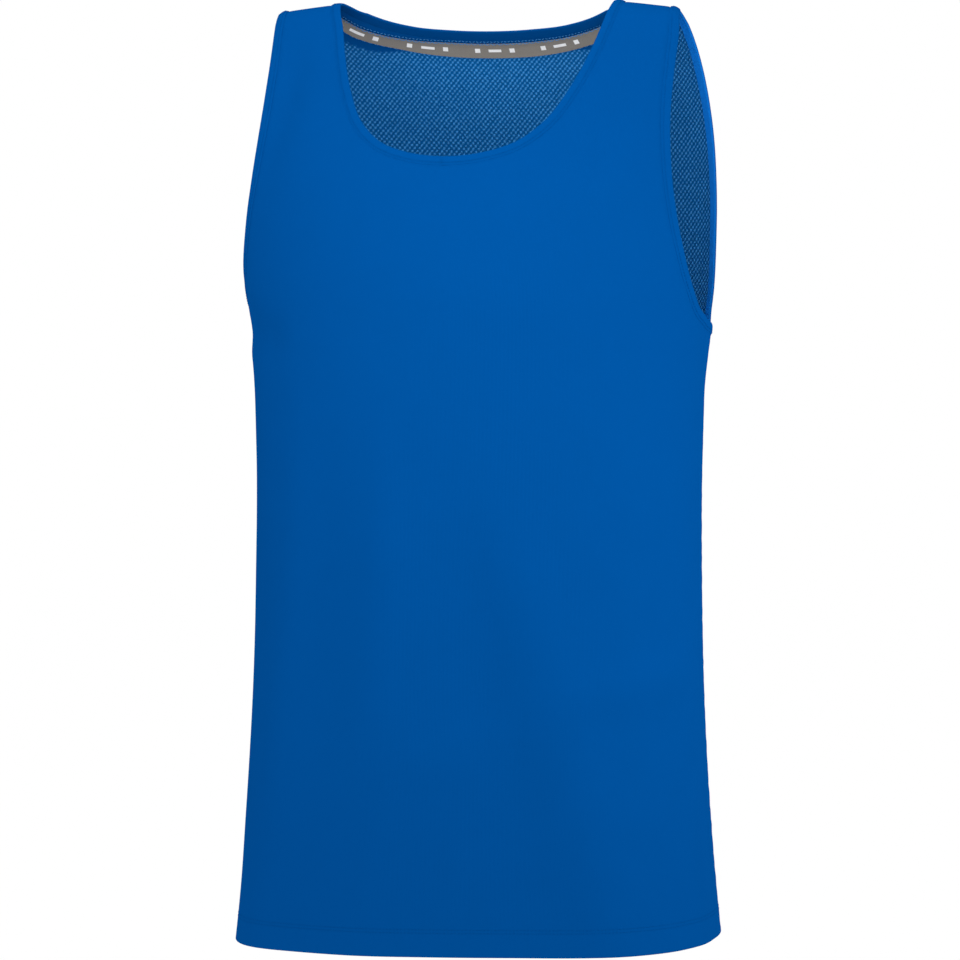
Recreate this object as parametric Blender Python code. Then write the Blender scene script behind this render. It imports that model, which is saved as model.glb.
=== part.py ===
# Running singlet, filled out as if worn: two panels, a neck binding, two armhole bindings and a neck tape.
# Metres. +Z is up, +X is the wearer's left, the front faces -Y, and the origin is midway between the shoulder tops.
import bpy
import numpy as np

for thing in list(bpy.data.objects):
    bpy.data.objects.remove(thing, do_unlink=True)

WALL = 0.0014            # cloth of a panel
HEM_LAYER = 0.0010       # what the cloth turned up inside at the foot adds to the wall
HEM_TILT = 0.0052        # how much higher the foot hangs at the wearer's left, and lower at the right
SEAM_GAP = 0.0003        # between two pieces that are sewn together
BINDING_WIDTH = 0.0072   # from the seam to the finished edge
NAPE_WIDTH = 0.0080      # the same at the back of the neck
BINDING_PROUD = 0.0004   # how far a binding stands off the panel, inside and outside
SHOULDER_CURL = 40.0     # bend of an armhole binding down past the shoulder's end, per metre
TAPE_START = 0.0034      # from the back neck seam to the tape's upper edge
TAPE_WIDTH = 0.0138
TAPE_WALL = 0.0010
TAPE_GAP = 0.0006        # between the tape and the panel behind it
RIDGE = 0.012            # height over which the cloth rolls over the shoulder
SHOULDER_FALL = 0.45     # fall of the shoulder line, times the square of the distance out, per metre
SHOULDER_MIDDLE = 0.137  # distance out at which the shoulder line is at height 0
NECK_HALF = 0.1162       # half the neck at the shoulder line, seam to seam
SQUARE_FRONT = 2.1       # 2 is an ellipse, more is squarer
SQUARE_BACK = 3.2
SQUARE_HEM = 0.4         # how much squarer the front is at the foot
SIDE_TURN = 116.5        # the side seam runs a little behind the wearer's side, in degrees from the front

# Level sections of the body of the garment: height, half width, front depth, back depth.
SECTIONS = np.array([
    (0.000, 0.1832, 0.0120, 0.0190),
    (-0.020, 0.1866, 0.0215, 0.0385),
    (-0.040, 0.1880, 0.0365, 0.0580),
    (-0.070, 0.1895, 0.0605, 0.0780),
    (-0.100, 0.1902, 0.0830, 0.0925),
    (-0.130, 0.1898, 0.1005, 0.1010),
    (-0.160, 0.1888, 0.1100, 0.1060),
    (-0.190, 0.1870, 0.1150, 0.1085),
    (-0.220, 0.1840, 0.1178, 0.1083),
    (-0.250, 0.1795, 0.1187, 0.1067),
    (-0.280, 0.1760, 0.1183, 0.1036),
    (-0.340, 0.1738, 0.1160, 0.0983),
    (-0.430, 0.1733, 0.1122, 0.0947),
    (-0.520, 0.1751, 0.1098, 0.0967),
    (-0.600, 0.1789, 0.1095, 0.1012),
    (-0.660, 0.1830, 0.1101, 0.1053),
    (-0.7215, 0.1893, 0.1127, 0.1095),
])

# Neck seam, from the shoulder to the centre: distance out, height.
NECK_FRONT = [(NECK_HALF, 0.0), (0.1102, -0.0191), (0.1033, -0.0430), (0.0925, -0.0699),
              (0.0780, -0.0939), (0.0585, -0.1108), (0.0301, -0.1209), (0.0, -0.1240)]
NECK_BACK = [(NECK_HALF, 0.0), (0.1065, -0.0081), (0.0903, -0.0166), (0.0636, -0.0245),
             (0.0333, -0.0283), (0.0, -0.0297)]

# Armhole seam, from the shoulder down the front, under the arm and up the back: turn from the front, height.
ARMHOLE = [(55.5, 0.0), (54.2, -0.030), (53.5, -0.060), (53.8, -0.090), (55.5, -0.120), (58.1, -0.150),
           (62.7, -0.184), (69.2, -0.2138), (78.1, -0.2355), (90.3, -0.2453), (104.0, -0.2499),
           (SIDE_TURN, -0.2534), (119.3, -0.2530), (121.4, -0.2496), (123.2, -0.2406), (124.5, -0.2147),
           (125.9, -0.185), (126.7, -0.150), (127.6, -0.120), (128.7, -0.090), (129.8, -0.060),
           (131.2, -0.030), (133.2, 0.0)]

# Main folds: turn and height at the top, turn and height at the foot, half width at each in degrees, lift.
FOLDS = [
    (-26, -0.290, -38, -0.720, 6.0, 9.0, -0.0026),
    (-14, -0.300, -17, -0.740, 6.0, 9.0, 0.0023),
    (4, -0.350, 19, -0.760, 6.5, 10.0, -0.0024),
    (9, -0.310, 42, -0.740, 6.0, 9.0, 0.0030),
    (-40, -0.240, -48, -0.560, 6.5, 9.0, 0.0022),
    (-69, -0.290, -66, -0.680, 8.0, 11.0, -0.0022),
    (-86, -0.330, -84, -0.620, 20.0, 20.0, 0.0016),
    (-81, -0.190, -79, -0.250, 9.0, 9.0, -0.0028),
    (63, -0.330, 69, -0.760, 7.0, 9.0, -0.0020),
    (118, -0.300, 122, -0.700, 7.0, 9.0, 0.0018),
    (145, -0.230, 139, -0.700, 6.5, 11.0, -0.0038),
    (167, -0.330, 164, -0.760, 7.0, 12.0, 0.0030),
    (193, -0.210, 199, -0.730, 6.5, 10.0, -0.0044),
    (221, -0.300, 227, -0.690, 7.0, 10.0, 0.0030),
    (250, -0.280, 246, -0.740, 7.0, 9.0, -0.0024),
]

# Rows of a panel, foot to shoulder, and columns from its centre to its side. The hem is the lowest 20 mm.
HEM_ROWS = [-0.7215, -0.7115, -0.7015, -0.7005]
SIDE_ROWS = 15
STRAP_ROWS = 17
# Rows between the underarm and the foot of the neck: how far up the centre line each stands.
FRONT_CLIMB = [0.05, 0.10, 0.15, 0.21, 0.27, 0.34, 0.42, 0.50, 0.59, 0.68, 0.77, 0.86, 0.94, 1.0]
BACK_CLIMB = [0.03, 0.07, 0.13, 0.20, 0.28, 0.37, 0.47, 0.57, 0.67, 0.77, 0.86, 0.93, 0.97, 1.0]
FRONT_COLUMNS = 19
BACK_COLUMNS = 13
FRONT_LEVEL = -0.272       # where the row that starts at the underarm reaches the centre line of the front
BACK_LEVEL = -0.286        # and of the back


# A smooth curve through uneven rows, taken at the given places.
def through(place, places, rows):
    places = np.asarray(places, float)
    rows = np.asarray(rows, float)
    slope = np.gradient(rows, places, axis=0)
    i = np.clip(np.searchsorted(places, place) - 1, 0, len(places) - 2)
    span = places[i + 1] - places[i]
    t = np.clip((place - places[i]) / span, 0, 1)
    if rows.ndim > 1:
        span = span[..., None]
        t = t[..., None]
    start = (2 * t**3 - 3 * t**2 + 1) * rows[i] + (t**3 - 2 * t**2 + t) * span * slope[i]
    end = (3 * t**2 - 2 * t**3) * rows[i + 1] + (t**3 - t**2) * span * slope[i + 1]
    return start + end


def section(column, height):
    return through(np.clip(height, SECTIONS[-1, 0], 0), SECTIONS[::-1, 0], SECTIONS[::-1, column])


def smooth(t):
    t = np.clip(t, 0, 1)
    return t * t * (3 - 2 * t)


# Lift of the cloth by its folds.
def drape(turn, height):
    lift = np.zeros(np.broadcast(turn, height).shape)
    for turn_top, top, turn_foot, foot, width_top, width_foot, amount in FOLDS:
        t = (top - height) / (top - foot)
        k = np.clip(t, 0, 1.2)
        off = (np.degrees(turn) - turn_top - (turn_foot - turn_top) * k + 180) % 360 - 180
        width = width_top + (width_foot - width_top) * k
        lift += amount * smooth(t / 0.45) * smooth((1.35 - t) / 0.35) * np.exp(-(off / width) ** 2)
    return lift


# A point of the unfolded form. drop is the square root of the fall below the shoulder line, and is below zero
# just past the line.
def form(turn, drop):
    height = -drop**2
    front = np.cos(turn) >= 0
    square = np.where(front, SQUARE_FRONT + SQUARE_HEM * smooth((-height - 0.45) / 0.27), SQUARE_BACK)
    reach = (np.abs(np.sin(turn))**square + np.abs(np.cos(turn))**square) ** (-1 / square)
    near = np.minimum(drop**2, RIDGE)
    roll = np.sign(drop) * np.sqrt(near * (2 * RIDGE - near)) / RIDGE
    depth = np.where(front, section(2, height), section(3, height)) * roll
    x = section(1, height) * reach * np.sin(turn)
    y = -depth * reach * np.cos(turn)
    fall = SHOULDER_FALL * (x**2 - SHOULDER_MIDDLE**2) * smooth(1 + height / 0.10)
    tilt = HEM_TILT * np.sin(turn) * smooth((-height - 0.45) / 0.27)
    return np.stack([x, y, height - fall + tilt], -1)


def outward(surface, turn, drop, step=1e-4):
    along = surface(turn + step, drop) - surface(turn - step, drop)
    down = surface(turn, drop + step) - surface(turn, drop - step)
    normal = np.cross(down, along)
    return normal / np.linalg.norm(normal, axis=-1, keepdims=True)


def cloth(turn, drop):
    lift = drape(turn, -drop**2)
    return form(turn, drop) + lift[..., None] * outward(form, turn, drop)


def drop_of(height):
    return np.sqrt(np.maximum(-np.asarray(height, float), 0))


# The turn at which the form is this far out, on the front or on the back.
def turn_of(out, height, back):
    square = SQUARE_BACK if back else SQUARE_FRONT
    part = np.clip(out / section(1, height), 0, 1)
    turn = np.arctan2(part, (1 - part**square) ** (1 / square))
    return np.pi - turn if back else turn


# Parts of the way up a seam, closer together towards the shoulder.
def upward(count):
    t = np.linspace(0, 1, count + 1)
    return t + 0.42 * t * (1 - t)


# Parts of the way round an armhole half, closer together at the underarm and at the shoulder.
def around(count):
    t = np.linspace(0, 1, count + 1)
    return t - 0.4 * np.sin(2 * np.pi * t) / (2 * np.pi)


# Half of the neck seam from the centre to the shoulder, as turn and drop. The seam runs level at the centre.
def neck_half(back):
    table = np.asarray(NECK_BACK if back else NECK_FRONT, float)[::-1]
    table = np.vstack([table[1] * (-1, 1), table])
    steps = np.linalg.norm(np.diff(table, axis=0), axis=1)
    place = np.concatenate([[-steps[0], 0], np.cumsum(steps[1:])])
    rows = through(place[-1] * upward(STRAP_ROWS), place, table)
    height = np.minimum(rows[:, 1], 0)
    height[-1] = 0
    return turn_of(rows[:, 0], height, back), drop_of(height)


# The armhole seam of the wearer's left, front and back halves, each from the underarm to the shoulder.
def armhole_half(back):
    table = np.asarray(ARMHOLE, float)
    steps = np.linalg.norm(np.diff(table * (0.0026, 1), axis=0), axis=1)
    place = np.concatenate([[0], np.cumsum(steps)])
    under = place[[row[0] for row in ARMHOLE].index(SIDE_TURN)]
    end = place[-1] if back else 0.0
    rows = through(under + (end - under) * around(len(BACK_CLIMB) + STRAP_ROWS), place, table)
    height = np.minimum(rows[:, 1], 0)
    height[-1] = 0
    return np.radians(rows[:, 0]), drop_of(height)


# Grid of a half panel, rows from the hem to the shoulder and columns from the centre to the side.
def half_panel(back):
    neck_turn, neck_drop = neck_half(back)
    arm_turn, arm_drop = armhole_half(back)
    middle = np.pi if back else 0.0
    side = np.radians(SIDE_TURN) + (1 if back else -1) * 0.5 * SEAM_GAP / 0.13
    rise = np.linspace(0, 1, SIDE_ROWS + 1)[1:]
    under = -arm_drop[0]**2
    level = BACK_LEVEL if back else FRONT_LEVEL
    centre_height = np.concatenate([HEM_ROWS, HEM_ROWS[-1] + (level - HEM_ROWS[-1]) * rise])
    side_height = np.concatenate([HEM_ROWS, HEM_ROWS[-1] + (under - HEM_ROWS[-1]) * rise])
    centre_climb = level + (-neck_drop[0]**2 - level) * np.array(BACK_CLIMB if back else FRONT_CLIMB)
    start_turn = np.concatenate([np.full(len(centre_height) + len(BACK_CLIMB), middle), neck_turn[1:]])
    start_drop = np.concatenate([drop_of(centre_height), drop_of(centre_climb), neck_drop[1:]])
    end_turn = np.concatenate([np.full(len(side_height), side), arm_turn[1:]])
    end_drop = np.concatenate([drop_of(side_height), arm_drop[1:]])
    short = drop_of(0) + 0.5 * SEAM_GAP / 0.18
    start_drop[-1] = end_drop[-1] = short
    # Above the underarm the columns crowd towards the neck and the armhole, where the form bends most.
    t = np.linspace(0, 1, (BACK_COLUMNS if back else FRONT_COLUMNS) + 1)[None, :]
    crowd = 0.10 * smooth(np.maximum(np.arange(len(start_turn)) - len(side_height), 0) / 11)
    t = t - crowd[:, None] * np.sin(2 * np.pi * t)
    turn = start_turn[:, None] * (1 - t) + end_turn[:, None] * t
    height = -(start_drop[:, None]**2) * (1 - t) - (end_drop[:, None]**2) * t
    return turn, drop_of(height)


def make(name, points, faces, colour, roughness):
    mesh = bpy.data.meshes.new(name)
    mesh.from_pydata([tuple(p) for p in points], [], [tuple(f) for f in faces])
    mesh.update()
    material = bpy.data.materials.new(name)
    material.use_nodes = True
    shader = material.node_tree.nodes["Principled BSDF"]
    shader.inputs["Base Color"].default_value = (*colour, 1)
    shader.inputs["Roughness"].default_value = roughness
    shader.inputs["Metallic"].default_value = 0
    mesh.materials.append(material)
    thing = bpy.data.objects.new(name, mesh)
    bpy.context.scene.collection.objects.link(thing)
    return thing


# A closed wall from its outer face: the inner face is moved in by depth, and a rim joins the borders.
def closed_wall(points, inner, faces):
    count = len(points)
    border = {}
    for face in faces:
        for a, b in zip(face, face[1:] + face[:1]):
            if (b, a) in border:
                del border[(b, a)]
            else:
                border[(a, b)] = True
    rim = [(b, a, a + count, b + count) for a, b in border]
    back = [tuple(i + count for i in face[::-1]) for face in faces]
    return np.concatenate([points, inner]), faces + back + rim


def make_panel(name, back, colour):
    turn, drop = half_panel(back)
    rows, columns = turn.shape
    other = -turn if not back else 2 * np.pi - turn
    turns = np.stack([turn, other])
    drops = np.stack([drop, drop])
    points = cloth(turns, drops)
    normals = outward(cloth, turns, drops)
    wall = np.full(turns.shape, WALL)
    wall[:, :len(HEM_ROWS) - 1] += HEM_LAYER
    inner = points - normals * wall[..., None]
    number = np.arange(2 * rows * columns).reshape(2, rows, columns)
    neck_row = rows - 1 - STRAP_ROWS
    number[1, :neck_row + 1, 0] = number[0, :neck_row + 1, 0]
    faces = []
    for half in (0, 1):
        grid = number[half]
        for i in range(rows - 1):
            for j in range(columns - 1):
                face = (grid[i, j], grid[i, j + 1], grid[i + 1, j + 1], grid[i + 1, j])
                faces.append(face[::-1] if (half == 1) != back else face)
    used = sorted({i for face in faces for i in face})
    renumber = {old: new for new, old in enumerate(used)}
    faces = [tuple(renumber[i] for i in face) for face in faces]
    points = points.reshape(-1, 3)[used]
    inner = inner.reshape(-1, 3)[used]
    solid, sides = closed_wall(points, inner, faces)
    return make(name, solid, sides, colour, 0.75)


# Seam frame along a closed path: point, outward normal and the way into the opening.
def seam_frame(turn, drop, toward):
    points = cloth(turn, drop)
    normals = outward(cloth, turn, drop)
    tangent = np.roll(points, -1, axis=0) - np.roll(points, 1, axis=0)
    tangent /= np.linalg.norm(tangent, axis=1, keepdims=True)
    inward = np.cross(normals, tangent)
    inward /= np.linalg.norm(inward, axis=1, keepdims=True)
    side = np.sum(inward * (toward - points), axis=1).sum()
    inward *= np.sign(side)
    normals = normals - inward * np.sum(normals * inward, axis=1, keepdims=True)
    normals /= np.linalg.norm(normals, axis=1, keepdims=True)
    return points, normals, inward


# A ring of folded cloth along a seam. Its section is a flat loop with a rounded finished edge, bent in by curl.
def make_binding(name, frame, width, curl, colour):
    points, normals, inward = frame
    top = BINDING_PROUD
    low = -WALL - BINDING_PROUD
    body = width - SEAM_GAP
    profile = [(0.0, 0.0, low), (0.0, 0.0, top), (0.30, 0.0, top * 1.25), (0.86, 0.0, top),
               (1.0, 0.0, (2 * top + low) / 3), (1.0, 0.0, (top + 2 * low) / 3), (0.86, 0.0, low),
               (0.30, 0.0, low - top * 0.25)]
    rings = []
    for part, extra, height in profile:
        across = SEAM_GAP + extra + part * body
        rings.append(points + inward * across[:, None] + normals * (height - curl * across**2)[:, None])
    solid = np.stack(rings, axis=1)
    count, sides = solid.shape[:2]
    number = np.arange(count * sides).reshape(count, sides)
    flip = np.sum(np.cross(np.roll(points, -1, axis=0) - points, inward) * normals) < 0
    faces = []
    for i in range(count):
        for j in range(sides):
            i2, j2 = (i + 1) % count, (j + 1) % sides
            face = (number[i, j], number[i, j2], number[i2, j2], number[i2, j])
            faces.append(face if flip else face[::-1])
    return make(name, solid.reshape(-1, 3), faces, colour, 0.7)


# Places on the cloth at a distance outside a seam, found in short steps over the form.
def beside(turn, drop, outward_way, distance, steps=4):
    here_turn, here_drop = turn.copy(), drop.copy()
    way = outward_way
    for _ in range(steps):
        e = 1e-4
        here = form(here_turn, here_drop)
        along = (form(here_turn + e, here_drop) - here) / e
        down = (form(here_turn, here_drop + e) - here) / e
        aa, ad, dd = (along * along).sum(1), (along * down).sum(1), (down * down).sum(1)
        ra, rd = (along * way).sum(1), (down * way).sum(1)
        scale = distance / steps / (aa * dd - ad * ad)
        here_turn = here_turn + (ra * dd - rd * ad) * scale
        here_drop = here_drop + (rd * aa - ra * ad) * scale
    return here_turn, here_drop


front_blue = (0.0012, 0.0950, 0.3900)
back_blue = (0.0060, 0.0880, 0.3150)
binding_blue = (0.0020, 0.0900, 0.3700)
tape_grey = (0.1620, 0.1500, 0.1330)

make_panel("front_panel", False, front_blue)
make_panel("back_panel", True, back_blue)

# Neck ring: from the front centre up the wearer's left, over the shoulder, round the back and home.
front_turn, front_drop = neck_half(False)
back_turn, back_drop = neck_half(True)
left_turn = np.concatenate([front_turn, back_turn[::-1][1:]])
left_drop = np.concatenate([front_drop, -back_drop[::-1][1:]])
# Past the shoulder line the path runs on the back, so drop is counted up again there.
neck_turn = np.concatenate([left_turn, (2 * np.pi - left_turn)[::-1][1:-1]])
neck_drop = np.abs(np.concatenate([left_drop, left_drop[::-1][1:-1]]))
neck_frame = seam_frame(neck_turn, neck_drop, np.array([0, 0, 0.02]))
behind = smooth((-np.cos(neck_turn) - 0.2) / 0.6)
neck_width = BINDING_WIDTH + (NAPE_WIDTH - BINDING_WIDTH) * behind
make_binding("neck_binding", neck_frame, neck_width, np.zeros(len(neck_turn)), binding_blue)

# Armhole rings: from the underarm up the front, over the shoulder and down the back.
front_turn, front_drop = armhole_half(False)
back_turn, back_drop = armhole_half(True)
arm_turn = np.concatenate([front_turn, back_turn[::-1][1:-1]])
arm_drop = np.concatenate([front_drop, back_drop[::-1][1:-1]])
for name, side in (("armhole_binding_left", 1), ("armhole_binding_right", -1)):
    arm_frame = seam_frame(side * arm_turn, arm_drop, np.array([side * 0.25, 0, -0.06]))
    curl = SHOULDER_CURL * np.exp(-(arm_drop / 0.16) ** 2)
    make_binding(name, arm_frame, np.full(len(arm_turn), BINDING_WIDTH), curl, binding_blue)

# Neck tape: follows the back neck seam inside the panel, from one shoulder seam to the other.
seam_turn, seam_drop = neck_half(True)
seam_turn = np.concatenate([seam_turn[::-1], 2 * np.pi - seam_turn[1:]])
seam_drop = np.concatenate([seam_drop[::-1], seam_drop[1:]])
points = form(seam_turn, seam_drop)
normals = outward(form, seam_turn, seam_drop)
tangent = np.gradient(points, axis=0)
away = np.cross(tangent, normals)
away /= np.linalg.norm(away, axis=1, keepdims=True)
away *= np.sign(np.sum(away * (points - (0, 0, 0.02)), axis=1).sum())
outer, inner = [], []
for part in np.linspace(0, 1, 4):
    strip_turn, strip_drop = beside(seam_turn, seam_drop, away, TAPE_START + part * TAPE_WIDTH)
    inside = -outward(form, strip_turn, strip_drop)
    outer.append(form(strip_turn, strip_drop) + inside * (WALL + TAPE_GAP))
    inner.append(form(strip_turn, strip_drop) + inside * (WALL + TAPE_GAP + TAPE_WALL))
outer, inner = np.stack(outer), np.stack(inner)
across, count = outer.shape[:2]
number = np.arange(across * count).reshape(across, count)
faces = [(number[i, j], number[i + 1, j], number[i + 1, j + 1], number[i, j + 1])
         for i in range(across - 1) for j in range(count - 1)]
solid, sides = closed_wall(outer.reshape(-1, 3), inner.reshape(-1, 3), faces)
make("neck_tape", solid, sides, tape_grey, 0.8)
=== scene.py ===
import bpy
import numpy as np
from mathutils import Matrix


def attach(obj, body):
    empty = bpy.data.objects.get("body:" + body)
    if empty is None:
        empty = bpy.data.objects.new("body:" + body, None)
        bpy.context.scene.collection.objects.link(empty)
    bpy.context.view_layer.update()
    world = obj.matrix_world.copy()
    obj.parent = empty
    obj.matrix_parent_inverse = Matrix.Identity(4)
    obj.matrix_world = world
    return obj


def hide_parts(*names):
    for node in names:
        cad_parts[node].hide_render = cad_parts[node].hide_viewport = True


join = np.concatenate
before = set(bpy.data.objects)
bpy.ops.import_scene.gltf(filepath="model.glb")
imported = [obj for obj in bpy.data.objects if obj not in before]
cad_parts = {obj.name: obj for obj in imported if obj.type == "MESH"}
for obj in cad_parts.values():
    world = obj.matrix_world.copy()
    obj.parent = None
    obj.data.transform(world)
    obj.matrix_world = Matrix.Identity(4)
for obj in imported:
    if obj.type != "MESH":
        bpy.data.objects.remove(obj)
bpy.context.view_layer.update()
print("frame loaded")

# Metres. +Z is up, +X the wearer's left, and the front faces -Y. The origin is midway between the shoulders.
# Turn runs round the body from the front (0) over the wearer's left (90) to the back (180 degrees).
# Drop is the square root of the fall below the shoulder line.
figure = {
    "sections": [  # height, half width, front depth, back depth
        (0.000, 0.1832, 0.0120, 0.0190),
        (-0.020, 0.1866, 0.0215, 0.0385),
        (-0.040, 0.1880, 0.0365, 0.0580),
        (-0.070, 0.1895, 0.0605, 0.0780),
        (-0.100, 0.1902, 0.0830, 0.0925),
        (-0.130, 0.1898, 0.1005, 0.1010),
        (-0.160, 0.1888, 0.1100, 0.1060),
        (-0.190, 0.1870, 0.1150, 0.1085),
        (-0.220, 0.1840, 0.1178, 0.1083),
        (-0.250, 0.1795, 0.1187, 0.1067),
        (-0.280, 0.1760, 0.1183, 0.1036),
        (-0.340, 0.1738, 0.1160, 0.0983),
        (-0.430, 0.1733, 0.1122, 0.0947),
        (-0.520, 0.1751, 0.1098, 0.0967),
        (-0.600, 0.1789, 0.1095, 0.1012),
        (-0.660, 0.1830, 0.1101, 0.1053),
        (-0.7215, 0.1893, 0.1127, 0.1095),
    ],
    "squareFront": 2.1,  # 2 is an ellipse, more is squarer
    "squareBack": 3.2,
    "squareHem": 0.4,  # how much squarer at the foot
    "footFrom": 0.45, "footOver": 0.27,  # where the foot's form comes in, and over how much
    "ridge": 0.012,  # height over which the cloth rolls over the shoulder
    "shoulderFall": 0.45,  # fall of the shoulder line per square of the distance out
    "shoulderMiddle": 0.137,
    "shoulderDeep": 0.10,  # depth at which that fall has faded out
    "hemTilt": 0.0052,  # how much higher the foot hangs at the wearer's left
    "hemHeight": -0.7215,
}

seams = {
    "neckFront": [(0.1162, 0.0), (0.1102, -0.0191), (0.1033, -0.0430), (0.0925, -0.0699),
                  (0.0780, -0.0939), (0.0585, -0.1108), (0.0301, -0.1209), (0.0, -0.1240)],  # out, height
    "neckBack": [(0.1162, 0.0), (0.1065, -0.0081), (0.0903, -0.0166), (0.0636, -0.0245),
                 (0.0333, -0.0283), (0.0, -0.0297)],
    "armhole": [(55.5, 0.0), (54.2, -0.030), (53.5, -0.060), (53.8, -0.090), (55.5, -0.120), (58.1, -0.150),
                (62.7, -0.184), (69.2, -0.2138), (78.1, -0.2355), (90.3, -0.2453), (104.0, -0.2499),
                (116.5, -0.2534), (119.3, -0.2530), (121.4, -0.2496), (123.2, -0.2406), (124.5, -0.2147),
                (125.9, -0.185), (126.7, -0.150), (127.6, -0.120), (128.7, -0.090), (129.8, -0.060),
                (131.2, -0.030), (133.2, 0.0)],  # turn, height
    "sideTurn": 116.5,  # the side seam runs a little behind the wearer's side
    "underarm": 11,  # the armhole's row at the side seam
    "neckSteps": 17,
    "armSteps": 31,
    "finer": 5,  # points for each of those steps
    "neckBunch": 0.42, "armBunch": 0.4,  # how far points are drawn to the shoulder, and to both ends
    "neckMiddle": (0, 0, 0.02),  # a point in each opening
    "armholeMiddle": (0.25, 0, -0.06),
}

# The large folds, down to the hem.
folds = [  # turn and height at the top, at the foot, half width in degrees at each, lift
    (-26, -0.290, -38, -0.720, 6.0, 9.0, -0.0026),
    (-14, -0.300, -17, -0.740, 6.0, 9.0, 0.0023),
    (4, -0.350, 19, -0.760, 6.5, 10.0, -0.0024),
    (9, -0.310, 42, -0.740, 6.0, 9.0, 0.0030),
    (-40, -0.240, -48, -0.560, 6.5, 9.0, 0.0022),
    (-69, -0.290, -66, -0.680, 8.0, 11.0, -0.0022),
    (-86, -0.330, -84, -0.620, 20.0, 20.0, 0.0016),
    (-81, -0.190, -79, -0.250, 9.0, 9.0, -0.0028),
    (63, -0.330, 69, -0.760, 7.0, 9.0, -0.0020),
    (118, -0.300, 122, -0.700, 7.0, 9.0, 0.0018),
    (145, -0.230, 139, -0.700, 6.5, 11.0, -0.0038),
    (167, -0.330, 164, -0.760, 7.0, 12.0, 0.0030),
    (193, -0.210, 199, -0.730, 6.5, 10.0, -0.0044),
    (221, -0.300, 227, -0.690, 7.0, 10.0, 0.0030),
    (250, -0.280, 246, -0.740, 7.0, 9.0, -0.0024),
]

# Smaller creases, each from one place to another, bowed sideways at its middle.
creases = [  # turn and height at the start, at the end, half width at each, bow, lift
    # across the chest, and pulled in under the right arm and along the strap
    (-25, -0.205, 62, -0.215, 0.030, 0.030, -0.010, 0.0020),
    (-45, -0.256, -72, -0.240, 0.018, 0.022, 0.006, -0.0042),
    (-45, -0.030, -54, -0.150, 0.016, 0.020, 0.004, -0.0030),
    # down the right of the front
    (-13, -0.340, -17, -0.620, 0.018, 0.026, 0.004, 0.0038),
    (-31, -0.350, -42, -0.600, 0.016, 0.022, -0.005, -0.0022),
    # slanting out to the left of the hem
    (8, -0.400, 22, -0.700, 0.018, 0.022, 0.005, -0.0025),
    (22, -0.400, 44, -0.720, 0.018, 0.026, 0.006, 0.0030),
    # lying across, and turned in at the hem
    (-12, -0.560, 14, -0.570, 0.028, 0.030, -0.008, 0.0020),
    (34, -0.530, 84, -0.510, 0.022, 0.020, 0.006, 0.0032),
    (-55, -0.735, 36, -0.745, 0.080, 0.080, 0.000, -0.0060),
    # the back
    (132, -0.236, 112, -0.300, 0.006, 0.012, 0.005, -0.0014),
    (228, -0.240, 252, -0.310, 0.006, 0.012, -0.005, -0.0014),
    (156, -0.150, 160, -0.300, 0.009, 0.015, 0.004, -0.0009),
    (206, -0.120, 201, -0.260, 0.009, 0.015, -0.004, 0.0009),
    (176, -0.420, 186, -0.640, 0.008, 0.014, 0.006, -0.0012),
    (128, -0.520, 118, -0.690, 0.008, 0.012, -0.005, 0.0010),
    (236, -0.470, 228, -0.660, 0.008, 0.012, 0.005, -0.0010),
]


# A smooth curve through uneven rows: cubic pieces with the rows' own slopes.
def curveThrough(place, places, rows):
    places = np.asarray(places, float)
    rows = np.asarray(rows, float)
    slope = np.gradient(rows, places, axis=0)
    i = np.clip(np.searchsorted(places, place) - 1, 0, len(places) - 2)
    span = places[i + 1] - places[i]
    t = np.clip((place - places[i]) / span, 0, 1)
    if rows.ndim > 1:
        span = span[..., None]
        t = t[..., None]
    start = (2 * t**3 - 3 * t**2 + 1) * rows[i] + (t**3 - 2 * t**2 + t) * span * slope[i]
    end = (3 * t**2 - 2 * t**3) * rows[i + 1] + (t**3 - t**2) * span * slope[i + 1]
    return start + end


# Half width or depth of the body at a height, on the smooth curve through the sections.
def sectionSize(column, height):
    table = np.array(figure["sections"])[::-1]
    return curveThrough(np.clip(height, table[0, 0], 0), table[:, 0], table[:, column])


# 0 to 1 with level ends: three t squared less two t cubed.
def ease(t):
    t = np.clip(t, 0, 1)
    return t * t * (3 - 2 * t)


# The same directions with a length of 1.
def unit(vectors):
    return vectors / np.linalg.norm(vectors, axis=-1, keepdims=True)


# Lengths added up along lines of points.
def lengthAlong(points, axis=0):
    steps = np.diff(points, axis=axis, prepend=points.take([0], axis))
    return np.cumsum(np.linalg.norm(steps, axis=-1), axis)


# Lift of the large folds: a bell across an axis that slants and widens from its top to its foot.
def foldLift(turn, height):
    comesIn, longest, ends, goesOut = 0.45, 1.2, 1.35, 0.35  # parts of a fold's length
    lift = np.zeros(np.broadcast(turn, height).shape)
    for turnTop, top, turnFoot, foot, widthTop, widthFoot, amount in folds:
        t = (top - height) / (top - foot)
        k = np.clip(t, 0, longest)
        off = (np.degrees(turn) - turnTop - (turnFoot - turnTop) * k + 180) % 360 - 180
        width = widthTop + (widthFoot - widthTop) * k
        lift += amount * ease(t / comesIn) * ease((ends - t) / goesOut) * np.exp(-(off / width) ** 2)
    return lift


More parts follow.
